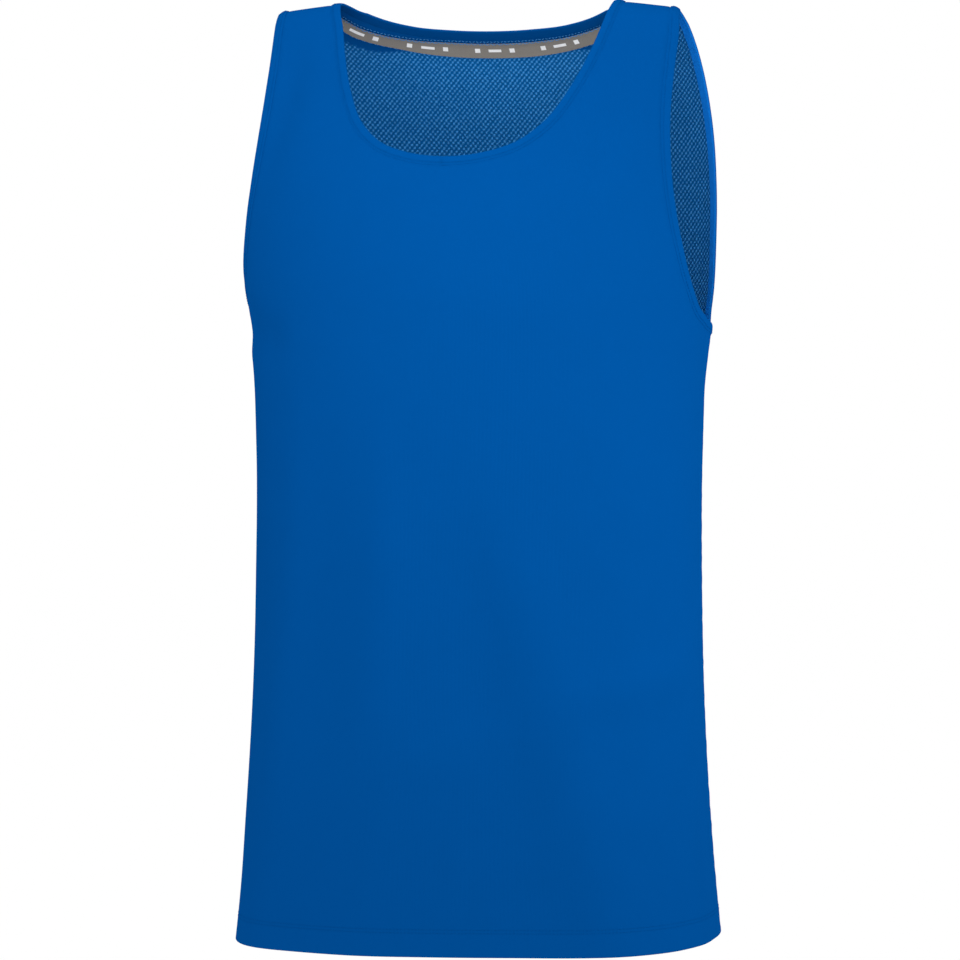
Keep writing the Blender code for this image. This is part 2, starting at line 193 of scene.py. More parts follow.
# Lift of the creases: a bell across a bowed line, fading at both its ends.
def creaseLift(turn, height):
    degree = 0.0027  # one degree of turn, along the cloth
    beyond, comesIn, goesOut = 0.15, 0.45, 0.5  # parts of a crease's length
    lift = np.zeros(np.broadcast(turn, height).shape)
    for turnA, heightA, turnB, heightB, widthA, widthB, bow, amount in creases:
        across = ((np.degrees(turn) - turnA + 180) % 360 - 180) * degree
        up = height - heightA
        wayAcross, wayUp = (turnB - turnA) * degree, heightB - heightA
        length = np.hypot(wayAcross, wayUp)
        t = (across * wayAcross + up * wayUp) / length**2
        off = (up * wayAcross - across * wayUp) / length - bow * 4 * t * (1 - t)
        width = widthA + (widthB - widthA) * np.clip(t, 0, 1)
        fade = ease((t + beyond) / comesIn) * ease((1 + beyond - t) / goesOut)
        lift += amount * fade * np.exp(-(off / width) ** 2)
    return lift


# A point of the unfolded body: a squared oval at each height, rolled over at a shoulder that falls outwards.
def bodyPoint(turn, drop):
    height = -drop**2
    front = np.cos(turn) >= 0
    foot = ease((-height - figure["footFrom"]) / figure["footOver"])
    square = np.where(front, figure["squareFront"] + figure["squareHem"] * foot, figure["squareBack"])
    reach = (np.abs(np.sin(turn))**square + np.abs(np.cos(turn))**square) ** (-1 / square)
    ridge = figure["ridge"]
    near = np.minimum(drop**2, ridge)
    roll = np.sign(drop) * np.sqrt(near * (2 * ridge - near)) / ridge
    x = sectionSize(1, height) * reach * np.sin(turn)
    y = -np.where(front, sectionSize(2, height), sectionSize(3, height)) * roll * reach * np.cos(turn)
    fall = figure["shoulderFall"] * (x**2 - figure["shoulderMiddle"]**2)
    fall = fall * ease(1 + height / figure["shoulderDeep"])
    tilt = figure["hemTilt"] * np.sin(turn) * foot
    return np.stack([x, y, height - fall + tilt], -1)


# Outward normal: across the surface's own two directions.
def outward(surface, turn, drop, step=1e-4):
    along = surface(turn + step, drop) - surface(turn - step, drop)
    down = surface(turn, drop + step) - surface(turn, drop - step)
    return unit(np.cross(down, along))


# A point of the folded cloth: the body moved out along its normal by the folds and creases.
def clothPoint(turn, drop):
    lift = foldLift(turn, -drop**2) + creaseLift(turn, -drop**2)
    return bodyPoint(turn, drop) + lift[..., None] * outward(bodyPoint, turn, drop)


# Drop of a height: the square root of its fall.
def dropOf(height):
    return np.sqrt(np.maximum(-np.asarray(height, float), 0))


# The turn at which the body is this far out, on the front or on the back.
def turnAt(out, height, back):
    square = figure["squareBack"] if back else figure["squareFront"]
    part = np.clip(out / sectionSize(1, height), 0, 1)
    turn = np.arctan2(part, (1 - part**square) ** (1 / square))
    return np.pi - turn if back else turn


# Parts of the way up a seam, closer together towards the shoulder.
def upSeam(steps):
    t = np.linspace(0, 1, steps * seams["finer"] + 1)
    return t + seams["neckBunch"] * t * (1 - t)


# Parts of the way round an armhole half: even steps less a sine, so closer at both ends.
def roundArmhole(steps):
    t = np.linspace(0, 1, steps * seams["finer"] + 1)
    return t - seams["armBunch"] * np.sin(2 * np.pi * t) / (2 * np.pi)


# Half of the neck seam, level at the centre by a mirrored row, up to the shoulder.
def neckSeam(back):
    table = np.array(seams["neckBack" if back else "neckFront"])[::-1]
    table = np.vstack([table[1] * (-1, 1), table])
    steps = np.linalg.norm(np.diff(table, axis=0), axis=1)
    place = join([[-steps[0], 0], np.cumsum(steps[1:])])
    rows = curveThrough(place[-1] * upSeam(seams["neckSteps"]), place, table)
    height = np.minimum(rows[:, 1], 0)
    height[-1] = 0
    return turnAt(rows[:, 0], height, back), dropOf(height)


# Front or back half of the left armhole seam, from the underarm to the shoulder.
def armholeSeam(back):
    degree = 0.0026  # one degree of turn, along the seam
    table = np.array(seams["armhole"])
    place = lengthAlong(table * (degree, 1))
    under = place[seams["underarm"]]
    end = place[-1] if back else 0.0
    rows = curveThrough(under + (end - under) * roundArmhole(seams["armSteps"]), place, table)
    height = np.minimum(rows[:, 1], 0)
    height[-1] = 0
    return np.radians(rows[:, 0]), dropOf(height)


# Where a point lies in the flat cut: distances round from the centre line and up from the hem, added up on a
# fine grid and read off it in between.
def flatPlaces(back):
    turnSteps, dropSteps = 150, 260
    sideTurn = np.radians(seams["sideTurn"])
    turns = np.linspace(0, np.pi - sideTurn if back else sideTurn, turnSteps + 1)
    drops = np.linspace(0, dropOf(figure["hemHeight"]), dropSteps + 1)
    grid = bodyPoint(np.where(back, np.pi - turns, turns)[:, None], drops[None, :])
    around, below = lengthAlong(grid), lengthAlong(grid, 1)
    rise = below[:, -1:] - below

    def place(turn, drop):
        side = (turn + np.pi) % (2 * np.pi) - np.pi
        off = np.pi - np.abs(side) if back else np.abs(side)
        a = np.clip(off / turns[-1] * turnSteps, 0, turnSteps - 0.001)
        b = np.clip(np.abs(drop) / drops[-1] * dropSteps, 0, dropSteps - 0.001)
        i, j = a.astype(int), b.astype(int)
        a, b = a - i, b - j

        # A straight blend of the four grid values round the place.
        def read(table):
            near = table[i, j] * (1 - b) + table[i, j + 1] * b
            far = table[i + 1, j] * (1 - b) + table[i + 1, j + 1] * b
            return near * (1 - a) + far * a

        return np.stack([np.sign(side) * read(around), read(rise)], -1)

    return place


# Shortest distance from each point to a seam, and how far along the seam that is.
def seamDistance(points, line):
    flat = points.reshape(-1, 3)
    square = (flat**2).sum(1)[:, None] + (line**2).sum(1)[None, :] - 2 * flat @ line.T
    nearest = square.argmin(1)
    along = lengthAlong(line)
    distance = np.sqrt(np.maximum(square[np.arange(len(flat)), nearest], 0))
    return distance.reshape(points.shape[:-1]), along[nearest].reshape(points.shape[:-1])


# Uneven waves: half the sum of three sines with no common length, the first bent by a fourth.
def unevenWave(along, length):
    a = 2 * np.pi * along / length
    waves = np.sin(a + 0.8 * np.sin(0.31 * a)) + 0.6 * np.sin(0.617 * a + 1.7) + 0.4 * np.sin(1.43 * a + 0.6)
    return waves / 2


# A closed wall: quads on the outer face, the same turned over on the inner, and a rim.
def closedWall(outer, inner, quads):
    outer, inner = outer.reshape(-1, 3), inner.reshape(-1, 3)
    count = len(outer)
    sides = join([quads[:, [0, 1]], quads[:, [1, 2]], quads[:, [2, 3]], quads[:, [3, 0]]])
    border = sides[~np.isin(sides[:, 0] * count + sides[:, 1], sides[:, 1] * count + sides[:, 0])]
    rim = np.stack([border[:, 1], border[:, 0], border[:, 0] + count, border[:, 1] + count], 1)
    return join([outer, inner]), join([quads, quads[:, ::-1] + count, rim])


# Quads between the rows and columns of a grid of point numbers.
def gridQuads(number):
    return np.stack([number[:-1, :-1], number[:-1, 1:], number[1:, 1:], number[1:, :-1]], -1).reshape(-1, 4)


# An object with the given data, put in the scene.
def addObject(name, data):
    made = bpy.data.objects.new(name, data)
    bpy.context.scene.collection.objects.link(made)
    return made


# A mesh object at the origin, with its places in the cut, in metres, as a UV map, and fields on its points.
def makePiece(name, points, quads, places, material, sharp=60, fields=None):
    mesh = bpy.data.meshes.new(name)
    mesh.from_pydata(points.reshape(-1, 3).astype(float), [], quads.reshape(-1, 4).tolist())
    mesh.update()
    corner = np.zeros(len(mesh.loops), int)
    mesh.loops.foreach_get("vertex_index", corner)
    layer = mesh.uv_layers.new(name="cut")
    layer.data.foreach_set("uv", places.reshape(-1, 2)[corner].astype(np.float32).ravel())
    for key, values in (fields or {}).items():
        field = mesh.attributes.new(key, "FLOAT", "POINT")
        field.data.foreach_set("value", values.astype(np.float32).ravel())
    mesh.materials.append(material)
    mesh.shade_smooth()
    mesh.set_sharp_from_angle(angle=np.radians(sharp))
    piece = addObject(name, mesh)
    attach(piece, "root")
    print("made", name, len(mesh.polygons), "faces")
    return piece


making = {}  # the material in work and its node tree


# Joins an input to a socket, or fills it with a value or a colour.
def fill(socket, value):
    if isinstance(value, bpy.types.NodeSocket):
        making["tree"].links.new(value, socket)
    elif value is not None:
        socket.default_value = (*value, 1) if isinstance(value, tuple) else value


# Adds a node with its values, and fills its inputs in order.
def put(kind, *inputs, **values):
    made = making["tree"].nodes.new("ShaderNode" + kind)
    for key, value in values.items():
        setattr(made, key, value)
    for socket, value in zip(made.inputs, inputs):
        fill(socket, value)
    return made.outputs[0]


# Starts a material with constant values on its shader, and no gloss unless given.
def startMaterial(name, surface):
    material = bpy.data.materials.new(name)
    material.use_nodes = True
    making.update(material=material, tree=material.node_tree)
    for key, value in ({"Specular IOR Level": 0.0} | surface).items():
        fill(making["tree"].nodes["Principled BSDF"].inputs[key], value)
    return material


# Joins the colour to the shader, and the height times the depth as a bump.
def finishMaterial(colour, height, depth):
    shader = making["tree"].nodes["Principled BSDF"]
    bump = put("Bump").node
    bump.inputs["Strength"].default_value = 1.0
    bump.inputs["Distance"].default_value = depth
    fill(bump.inputs["Height"], height)
    fill(shader.inputs["Normal"], bump.outputs[0])
    fill(shader.inputs["Base Color"], colour)
    return making["material"]


# One step of arithmetic on numbers or sockets.
def reckon(operation, *inputs):
    return put("Math", *inputs, operation=operation)


# The two places of the cut, in metres, as separate numbers.
def cutPlaces():
    split = put("SeparateXYZ", put("UVMap", uv_map="cut")).node
    return split.outputs[:2]


# A number kept on the mesh's points.
def fieldOf(key):
    return put("Attribute", attribute_name=key).node.outputs["Fac"]


# The first colour times one less the part, plus the second times the part.
def blendColour(part, first, second):
    mix = put("Mix", data_type="RGBA").node
    for index, value in ((0, part), (6, first), (7, second)):
        fill(mix.inputs[index], value)
    return mix.outputs[2]


# Soft noise of a given size, from 0 to 1, in the piece's own space.
def softPatches(size, detail=2.0):
    where = put("TexCoord").node.outputs["Object"]
    return put("TexNoise", where, None, 1 / size, detail)


# A cosine that repeats once in each pitch.
def cosineOf(place, pitch):
    return reckon("COSINE", reckon("MULTIPLY", place, 2 * np.pi / pitch))


knit = {
    "colour": (0.0002, 0.0608, 0.2490),
    "shade": (0.0002, 0.0585, 0.2395),
    "reverse": (0.0002, 0.0500, 0.2000),
    # painted light: the armhole bindings' reverse is painted pale for the light inside the armholes
    "paleReversePaintedLit": (0.0060, 0.1900, 0.7000),
    "wale": 0.0010,  # width of one column of stitches
    "course": 0.0008,  # height of one row
    "lean": 0.18,  # sideways lean of the stitches, in parts of a wale
    "columnHigh": 0.5, "rowHigh": 0.3,
    "patch": 0.03,  # size of the soft patches of shade
    "depth": 0.00006,
    "surface": {"Roughness": 0.85, "Sheen Weight": 0.03, "Sheen Roughness": 0.4,
                "Sheen Tint": (0.02, 0.25, 0.75)},
}


# Fine interlock: a cosine across, that leans to and fro row by row, plus a weaker cosine up.
def smoothKnit(name, reverse):
    startMaterial(name, knit["surface"])
    u, v = cutPlaces()
    row = cosineOf(v, knit["course"])
    lean = reckon("MULTIPLY", row, knit["lean"] * knit["wale"])
    column = cosineOf(reckon("ADD", u, lean), knit["wale"])
    rows = reckon("MULTIPLY", row, knit["rowHigh"])
    height = reckon("MULTIPLY_ADD", column, knit["columnHigh"], rows)
    colour = blendColour(softPatches(knit["patch"]), knit["shade"], knit["colour"])
    return finishMaterial(blendColour(fieldOf("inside"), colour, reverse), height, knit["depth"])


net = {
    "light": (0.020, 0.170, 0.470),
    "dark": (0.0008, 0.048, 0.180),
    "lightInsidePaintedLit": (0.058, 0.310, 0.720),  # the reverse is painted paler: painted light for the light inside the garment
    "darkInsidePaintedLit": (0.0020, 0.094, 0.305),
    "plain": (0.0006, 0.066, 0.255),  # smooth knit of the seam allowance at the neck
    "across": 0.0040,  # two columns of the net
    "up": 0.0047,  # two rows
    "slant": 0.22,  # strength of the slanting cosine
    "uneven": (0.0017, 1.3),  # size and strength of the yarn's unevenness
    "edge": (-0.45, 1.15),  # heights between which dark turns into light
    "patch": (0.02, 0.85),  # size of the soft patches, and how light the darkest is
    "patchRange": (0.3, 0.7),  # the noise seldom leaves this
    "depth": 0.0005,
    "surface": {"Roughness": 0.8, "Sheen Weight": 0.03, "Sheen Roughness": 0.4,
                "Sheen Tint": (0.05, 0.30, 0.80)},
}


# Fine net knit: knots in staggered rows, cosine across times cosine up, plus a weak cosine along a slant and
# uneven noise. The field inside is 1 on the reverse, and plain on the allowance at the neck seam.
def openNet(name):
    startMaterial(name, net["surface"])
    u, v = cutPlaces()
    across, up = net["across"], net["up"]
    knots = reckon("MULTIPLY", cosineOf(u, across), cosineOf(v, up))
    slant = reckon("SUBTRACT", reckon("DIVIDE", u, across), reckon("DIVIDE", v, up))
    height = reckon("MULTIPLY_ADD", cosineOf(slant, 1.0), net["slant"], knots)
    size, strength = net["uneven"]
    uneven = reckon("SUBTRACT", softPatches(size, 0.0), 0.5)
    height = reckon("MULTIPLY_ADD", uneven, strength, height)
    part = put("MapRange", height, *net["edge"], 0.0, 1.0, interpolation_type="SMOOTHSTEP")
    size, darkest = net["patch"]
    patches = put("MapRange", softPatches(size), *net["patchRange"], darkest, 1.0)
    inside, plain = fieldOf("inside"), fieldOf("plain")
    # on the reverse the net takes the paler colours: painted light inside the garment
    dark = blendColour(inside, net["dark"], net["darkInsidePaintedLit"])
    light = blendColour(inside, net["light"], net["lightInsidePaintedLit"])
    colour = blendColour(reckon("MULTIPLY", part, patches), dark, light)
    relief = reckon("MULTIPLY", part, reckon("SUBTRACT", 1.0, plain))
    return finishMaterial(blendColour(plain, colour, net["plain"]), relief, net["depth"])


tape = {
    "grey": (0.300, 0.278, 0.245),
    # painted shade: the darker grey in the troughs of the ribs
    "shade": (0.205, 0.188, 0.165),
    "motif": (0.95, 0.95, 0.94),
    "repeat": 0.052,  # length of one repeat of the woven marks
    "square": 0.0040,
    "dash": (0.0100, 0.0026),  # length, height
    "apart": 0.0135,  # from the dash to the square on each side of it
    "rib": (0.0009, 0.5),  # pitch and height of the slanting ribs, and of the weft
    "weft": (0.0006, 0.3),
    "depth": 0.00012,
    "thick": 0.0006,
    "edgeRise": (0.00012, 6),  # how much thicker the two edges are, and the power of the place across
    # towards its ends the tape is drawn in: place out from the centre, its start and its width there
    "places": (-0.098, -0.073, -0.058, -0.036, 0.036, 0.062, 0.077, 0.098),
    "starts": (0.0076, 0.0056, 0.0045, 0.0034, 0.0034, 0.0026, 0.0020, 0.0018),
    "widths": (0.0100, 0.0100, 0.0116, 0.0138, 0.0138, 0.0124, 0.0118, 0.0114),
    "mean": 13,  # points in the running mean that rounds those steps off
    "deep": (0.0020, 0.0014, 0.35),  # how far inside its upper edge and the rest lie, and where that begins
    "lines": 13,  # lines of points across it
    "surface": {"Roughness": 0.7, "Specular IOR Level": 0.05},
}


# 1 where a place, counted from the middle of its repeat, is within half a size of a centre.
def within(place, centre, size, soft=0.00012):
    off = reckon("ABSOLUTE", reckon("SUBTRACT", place, centre))
    return put("MapRange", off, size / 2 + soft, size / 2 - soft, 0.0, 1.0)


# Woven tape: a slanting cosine plus one up, with small squares and short dashes that repeat along it.
def wovenTape(name):
    startMaterial(name, tape["surface"])
    u, v = cutPlaces()
    repeat, apart, square = tape["repeat"], tape["apart"], (tape["square"],) * 2
    place = reckon("WRAP", u, repeat / 2, -repeat / 2)
    marks = None
    for centre, (long, high) in ((-apart, square), (0.0, tape["dash"]), (apart, square)):
        mark = reckon("MULTIPLY", within(place, centre, long), within(v, 0.0, high))
        marks = mark if marks is None else reckon("MAXIMUM", marks, mark)
    (ribPitch, ribHigh), (weftPitch, weftHigh) = tape["rib"], tape["weft"]
    rib = cosineOf(reckon("ADD", u, v), ribPitch)
    weft = cosineOf(v, weftPitch)
    height = reckon("MULTIPLY_ADD", rib, ribHigh, reckon("MULTIPLY_ADD", weft, weftHigh, marks))
    # the ground is painted darker in the rib troughs: painted shade
    ribs = put("MapRange", rib, -1.0, 1.0, 0.0, 1.0)
    ground = blendColour(ribs, tape["shade"], tape["grey"])
    return finishMaterial(blendColour(marks, ground, tape["motif"]), height, tape["depth"])


threads = {
    "blue": (0.0006, 0.068, 0.275),
    "light": (0.060, 0.270, 0.620),
    "twist": 0.0005,  # pitch of the twisted strands
    "shade": 0.7,  # how much of the colour is left between them: painted shade in the grooves
    "depth": 0.00004,
    "surface": {"Roughness": 0.6},
}


# Sewing thread: two twisted strands, a slanting cosine on the stitch's own length and round.
def thread(name, colour):
    startMaterial(name, threads["surface"])
    u, v = cutPlaces()
    twist = cosineOf(reckon("ADD", u, v), threads["twist"])
    part = put("MapRange", twist, -1.0, 1.0, 0.0, 1.0)
    # the grooves between the strands are painted darker: painted shade
    shade = tuple(threads["shade"] * c for c in colour)
    return finishMaterial(blendColour(part, shade, colour), part, threads["depth"])


clothKnit = smoothKnit("smooth knit", knit["shade"])
neckKnit = smoothKnit("smooth knit of the neck binding", knit["reverse"])
# its reverse takes a pale colour: painted light inside the armholes
armKnit = smoothKnit("smooth knit of the armhole bindings", knit["paleReversePaintedLit"])
netKnit = openNet("fine net knit")
greyTape = wovenTape("grey woven tape")
blueThread = thread("blue thread", threads["blue"])
lightThread = thread("light blue thread", threads["light"])
print("materials made")

panel = {
    "wall": 0.0010,
    "hemDeep": 0.020,  # turned up inside at the foot
    "hemGap": 0.0002,  # between that and the panel
    "hemRows": 8,
    "hemStitches": (7, 8),  # rows of the hem that carry stitches
    "foldRows": 6,
    "sideRows": 15,  # rows from the hem to the underarm
    "sideFiner": 8,  # finer rows for each of those
    "columns": (19, 13),  # front and back
    "columnFiner": 4,
    "crowd": (0.10, 11),  # how far columns are drawn to a row's ends, and over how many rows
    "sideOut": 0.13, "shoulderOut": 0.18,  # metres for each unit of turn there, and of drop
    "seamGap": 0.00004,  # between the panels at side and shoulder
    "level": (-0.272, -0.286),  # where the row from the underarm meets the centre, front and back
    # parts of the way from there to the neck seam, row by row
    "climb": ([0, 0.05, 0.10, 0.15, 0.21, 0.27, 0.34, 0.42, 0.50, 0.59, 0.68, 0.77, 0.86, 0.94, 1.0],
              [0, 0.03, 0.07, 0.13, 0.20, 0.28, 0.37, 0.47, 0.57, 0.67, 0.77, 0.86, 0.93, 0.97, 1.0]),
    "seamDip": {"side": 0.0006, "shoulder": 0.0006, "neck": 0.0003, "armhole": 0.0003},  # drawn in at a seam
    "seamWide": 0.0022,
    "pucker": 0.00028,
    "puckerFrom": 0.003,
    "puckerWide": 0.009,
    "puckerLength": 0.013,
    # smooth strip at the net's neck seam: depth, more at its ends, from where, over how much, and soft edge
    "allowance": (0.0168, 0.0105, 0.060, 0.045, 0.0008),
}


# Turn and drop of half a panel, in rows from hem to shoulder. A row's height runs evenly from the centre line
# or neck seam to the side or armhole seam.
def halfPanel(back):
    neckTurn, neckDrop = neckSeam(back)
    armTurn, armDrop = armholeSeam(back)
    fine = seams["finer"]
    middle = np.pi if back else 0.0
    side = np.radians(seams["sideTurn"]) + (1 if back else -1) * 0.5 * panel["seamGap"] / panel["sideOut"]
    roll = panel["wall"] + panel["hemGap"] / 2
    hemTop = figure["hemHeight"] + panel["hemDeep"] + roll
    hem = np.linspace(figure["hemHeight"] + roll, hemTop, panel["hemRows"] + 1)
    rise = np.linspace(0, 1, panel["sideRows"] * panel["sideFiner"] + 1)[1:]
    under = -armDrop[0]**2
    level = panel["level"][back]
    climb = np.array(panel["climb"][back])
    steps = len(climb) - 1
    climb = np.interp(np.linspace(0, steps, steps * fine + 1)[1:], np.arange(steps + 1), climb)
    centreHeight = join([hem, hemTop + (level - hemTop) * rise])
    sideHeight = join([hem, hemTop + (under - hemTop) * rise])
    centreClimb = level + (-neckDrop[0]**2 - level) * climb
    startTurn = join([np.full(len(centreHeight) + len(climb), middle), neckTurn[1:]])
    startDrop = join([dropOf(centreHeight), dropOf(centreClimb), neckDrop[1:]])
    endTurn = join([np.full(len(sideHeight), side), armTurn[1:]])
    endDrop = join([dropOf(sideHeight), armDrop[1:]])
    startDrop[-1] = endDrop[-1] = 0.5 * panel["seamGap"] / panel["shoulderOut"]
    t = np.linspace(0, 1, panel["columns"][back] * panel["columnFiner"] + 1)[None, :]
    past = np.maximum(np.arange(len(startTurn)) - len(sideHeight), 0) / fine
    crowd, crowdRows = panel["crowd"]
    t = t - (crowd * ease(past / crowdRows))[:, None] * np.sin(2 * np.pi * t)
    turn = startTurn[:, None] * (1 - t) + endTurn[:, None] * t
    height = -(startDrop[:, None]**2) * (1 - t) - (endDrop[:, None]**2) * t
    return turn, dropOf(height), len(centreHeight) + len(climb) - 1, len(sideHeight) - 1


# The panel's seams as lines of points, left and right.
def panelSeams(turn, drop, neckRow, underRow):
    lines = []
    for side in (1, -1):
        for kind, line in (("side", (slice(0, underRow + 1), -1)), ("armhole", (slice(underRow, None), -1)),
                           ("shoulder", (-1, slice(None))), ("neck", (slice(neckRow, None), 0))):
            lines.append((kind, clothPoint(side * turn[line], drop[line])))
    return lines


# A panel: the cloth less a bell-shaped dip along each seam, plus puckers that fade out beside it. Its foot is
# turned up inside round a half-round fold.
def makePanel(name, back, material):
    turn, drop, neckRow, underRow = halfPanel(back)
    rows, columns = turn.shape
    turns = np.stack([turn, 2 * np.pi - turn if back else -turn])
    drops = np.stack([drop, drop])
    points = clothPoint(turns, drops)
    normals = outward(clothPoint, turns, drops)
    atNeck = np.full(turns.shape, 1.0)
    for kind, line in panelSeams(turn, drop, neckRow, underRow):
        distance, along = seamDistance(points, line)
        atNeck = np.minimum(atNeck, distance) if kind == "neck" else atNeck
        pucker = panel["pucker"] * unevenWave(along, panel["puckerLength"])
        drawn = panel["seamDip"][kind] * np.exp(-(distance / panel["seamWide"]) ** 2)
        fade = ease(distance / panel["puckerFrom"]) * np.exp(-(distance / panel["puckerWide"]) ** 2)
        points = points + normals * (pucker * fade - drawn)[..., None]
    places = flatPlaces(back)(turns, drops)
    hemLines = [tuple(join([grid[1, row, :0:-1], grid[0, row]]) for grid in (points, normals))
                for row in panel["hemStitches"]]
    deep, deeper, start, over, soft = panel["allowance"]
    plain = ease((deep + deeper * ease((np.abs(points[..., 0]) - start) / over) - atNeck) / soft)
    wall, gap = panel["wall"], panel["hemGap"]
    roll = wall + gap / 2
    # turned-up cloth: inside at the foot from its cut edge down, then round the fold
    inside = slice(panel["hemRows"], 0, -1)
    turned = points[:, inside] - normals[:, inside] * 2 * roll
    down = unit(points[:, :1] - points[:, 1:2])
    centre = points[:, :1] - normals[:, :1] * roll
    angle = np.linspace(np.pi, 0, panel["foldRows"] + 2)[:-1][None, :, None, None]
    round_ = normals[:, :1] * np.cos(angle) + down * np.sin(angle)
    outer = join([turned, centre + round_ * roll, points], axis=1)
    turnedInner = turned + normals[:, inside] * wall
    inner = join([turnedInner, centre + round_ * gap / 2, points - normals * wall], axis=1)
    foldPlaces = places[:, :1] - np.stack([0 * angle[..., 0], roll * angle[..., 0]], -1)
    under = places[:, inside] * (1, -1) - (0, roll * np.pi) + 2 * places[:, :1] * (0, 1)
    places = join([under, np.broadcast_to(foldPlaces, round_.shape[:3] + (2,)), places], axis=1)
    extra = outer.shape[1] - rows
    plain = np.pad(plain, ((0, 0), (extra, 0), (0, 0)))
    turnedUp = np.zeros(outer.shape[:3])
    turnedUp[:, :panel["hemRows"]] = 1
    number = np.arange(2 * (rows + extra) * columns).reshape(2, rows + extra, columns)
    number[1, :neckRow + extra + 1, 0] = number[0, :neckRow + extra + 1, 0]
    first, second = gridQuads(number[0]), gridQuads(number[1])
    quads = join([first[:, ::-1] if back else first, second if back else second[:, ::-1]])
    used, quads = np.unique(quads, return_inverse=True)
    quads = quads.reshape(-1, 4)
    outer, inner, places, turnedUp, plain = (part.reshape(number.size, -1)[used]
                                             for part in (outer, inner, places, turnedUp, plain))
    solid, sides = closedWall(outer, inner, quads)
    fields = {"inside": join([turnedUp, 1 - turnedUp]), "plain": join([0 * plain, plain])}
    return makePiece(name, solid, sides, join([places, places]), material, fields=fields), hemLines


frontCloth, frontHem = makePanel("front_cloth", False, clothKnit)
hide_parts("front_panel")
backCloth, backHem = makePanel("back_net", True, netKnit)
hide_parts("back_panel")

binding = {
    "width": 0.0072,  # from the seam to the finished edge
    "napeWidth": 0.0080,  # the same at the back of the neck
    "proud": 0.0004,  # how far it stands off the panel
    "wall": 0.0014,  # of the panel's solid
    "lap": 0.0006,  # how far its outer layer laps over the panel
    "lapInside": 0.0004,
    "sink": (0.00005, 0.5),  # how deep its outer edge sinks in, and over which part of the width
    "layer": 0.0004,  # thickness of each layer
    "crown": (0.00025, 0.4),  # rise of the outer layer, and the part of it on the inner one
    "faceSteps": 9, "foldSteps": 8,
    "napeFrom": (0.2, 0.6),  # how far back the wider part starts, and over how much
    "shoulderCurl": 40.0,  # bend down past the shoulder's end, per metre
    "curlDeep": 0.16,  # drop over which it fades
    "pucker": 0.00016,
    "puckerLength": 0.012,
    "puckerAt": (0.35, 0.4),  # middle and half width of the puckers, in parts of the width
    "puckerFade": 0.02,  # fades them out at the ring's start
}


# Seam frame along a closed path: point, outward normal and the way into the opening, square to each other.
def seamFrame(turn, drop, toward):
    points = clothPoint(turn, drop)
    normals = outward(clothPoint, turn, drop)
    tangent = unit(np.roll(points, -1, axis=0) - np.roll(points, 1, axis=0))
    inward = unit(np.cross(normals, tangent))
    inward *= np.sign(np.sum(inward * (toward - points), axis=1).sum())
    normals = unit(normals - inward * np.sum(normals * inward, axis=1, keepdims=True))
    return points, normals, inward


# The binding's section, out from the seam and up off it: a strip folded round the panel's cut edge, as an
# outer layer, a half-round fold and an inner layer, with a slot between them.
def bindingSection(width):
    proud, wall, lap, layer = (binding[key] for key in ("proud", "wall", "lap", "layer"))
    lapInside, (crown, innerPart), (sink, sinkOver) = binding["lapInside"], binding["crown"], binding["sink"]
    middle, half = -wall / 2, wall / 2 + proud
    fold = width - half
    t = np.linspace(0, 1, binding["faceSteps"] + 1)
    angle = np.linspace(np.pi / 2, -np.pi / 2, binding["foldSteps"] + 1)[1:-1]
    rise = crown * np.sin(np.pi * t)
    outerHeight = proud + rise - (proud + sink) * (1 - ease(t / sinkOver))
    outerFace = np.stack([-lap + (fold + lap) * t, outerHeight], -1)
    innerFace = np.stack([-lapInside + (fold + lapInside) * t, -wall - proud - innerPart * rise], -1)[::-1]
    slotInner = innerFace[::-1] + (0, layer)
    edge, slotEdge = (np.stack([fold + size * np.cos(angle), middle + size * np.sin(angle)], -1)
                      for size in (half, half - layer))
    slotEdge = slotEdge[::-1]
    slotOuter = outerFace[::-1] - (0, layer)
    inside = join([0 * t, ease(-np.sin(angle)), 0 * t + 1, 0 * t + 1, 0 * angle, 0 * t])
    return join([outerFace, edge, innerFace, slotInner, slotEdge, slotOuter]), inside


# A ring of folded cloth: the section carried along the seam, bent down by the curl times the way out squared.
def makeBinding(name, seam, width, curl, material):
    points, normals, inward = seam
    along = lengthAlong(points)
    full = along[-1] + np.linalg.norm(points[0] - points[-1])
    sections = np.stack([bindingSection(w)[0] for w in width])
    out, height = sections[..., 0], sections[..., 1]
    length = full / max(round(full / binding["puckerLength"]), 1)
    wave = unevenWave(along, length) * ease(np.minimum(along, full - along) / binding["puckerFade"])
    centre, half = binding["puckerAt"]
    middle = np.exp(-((out / width[:, None] - centre) / half) ** 2)
    height = height + binding["pucker"] * wave[:, None] * middle - curl[:, None] * np.maximum(out, 0)**2
    solid = points[:, None] + inward[:, None] * out[..., None] + normals[:, None] * height[..., None]
    count, sides = solid.shape[:2]
    number = np.arange((count + 1) * sides).reshape(count + 1, sides)
    ring = join([number, number[:, :1]], axis=1)
    quads = gridQuads(ring) % (count * sides)
    places = np.stack(np.broadcast_arrays(lengthAlong(sections[0])[None, :], along[:, None]), -1)
    turned = np.sum(np.cross(np.roll(points, -1, axis=0) - points, inward) * normals)
    quads = quads if turned < 0 else quads[:, ::-1]
    fields = {"inside": np.tile(bindingSection(width[0])[1], count)}
    return makePiece(name, solid, quads, places, material, 70, fields)


# A seam's two halves as one line, up the front, over the shoulder and down the back.
def overShoulder(seam):
    return (join([front, back[::-1][1:]]) for front, back in zip(seam(False), seam(True)))


# Neck ring: from the front centre up the wearer's left, round the back and home.
def neckRing():
    turn, drop = overShoulder(neckSeam)
    return join([turn, (2 * np.pi - turn)[::-1][1:-1]]), join([drop, drop[::-1][1:-1]])


# Armhole ring: the same from the underarm round to it.
def armholeRing(side):
    turn, drop = overShoulder(armholeSeam)
    return side * turn[:-1], drop[:-1]


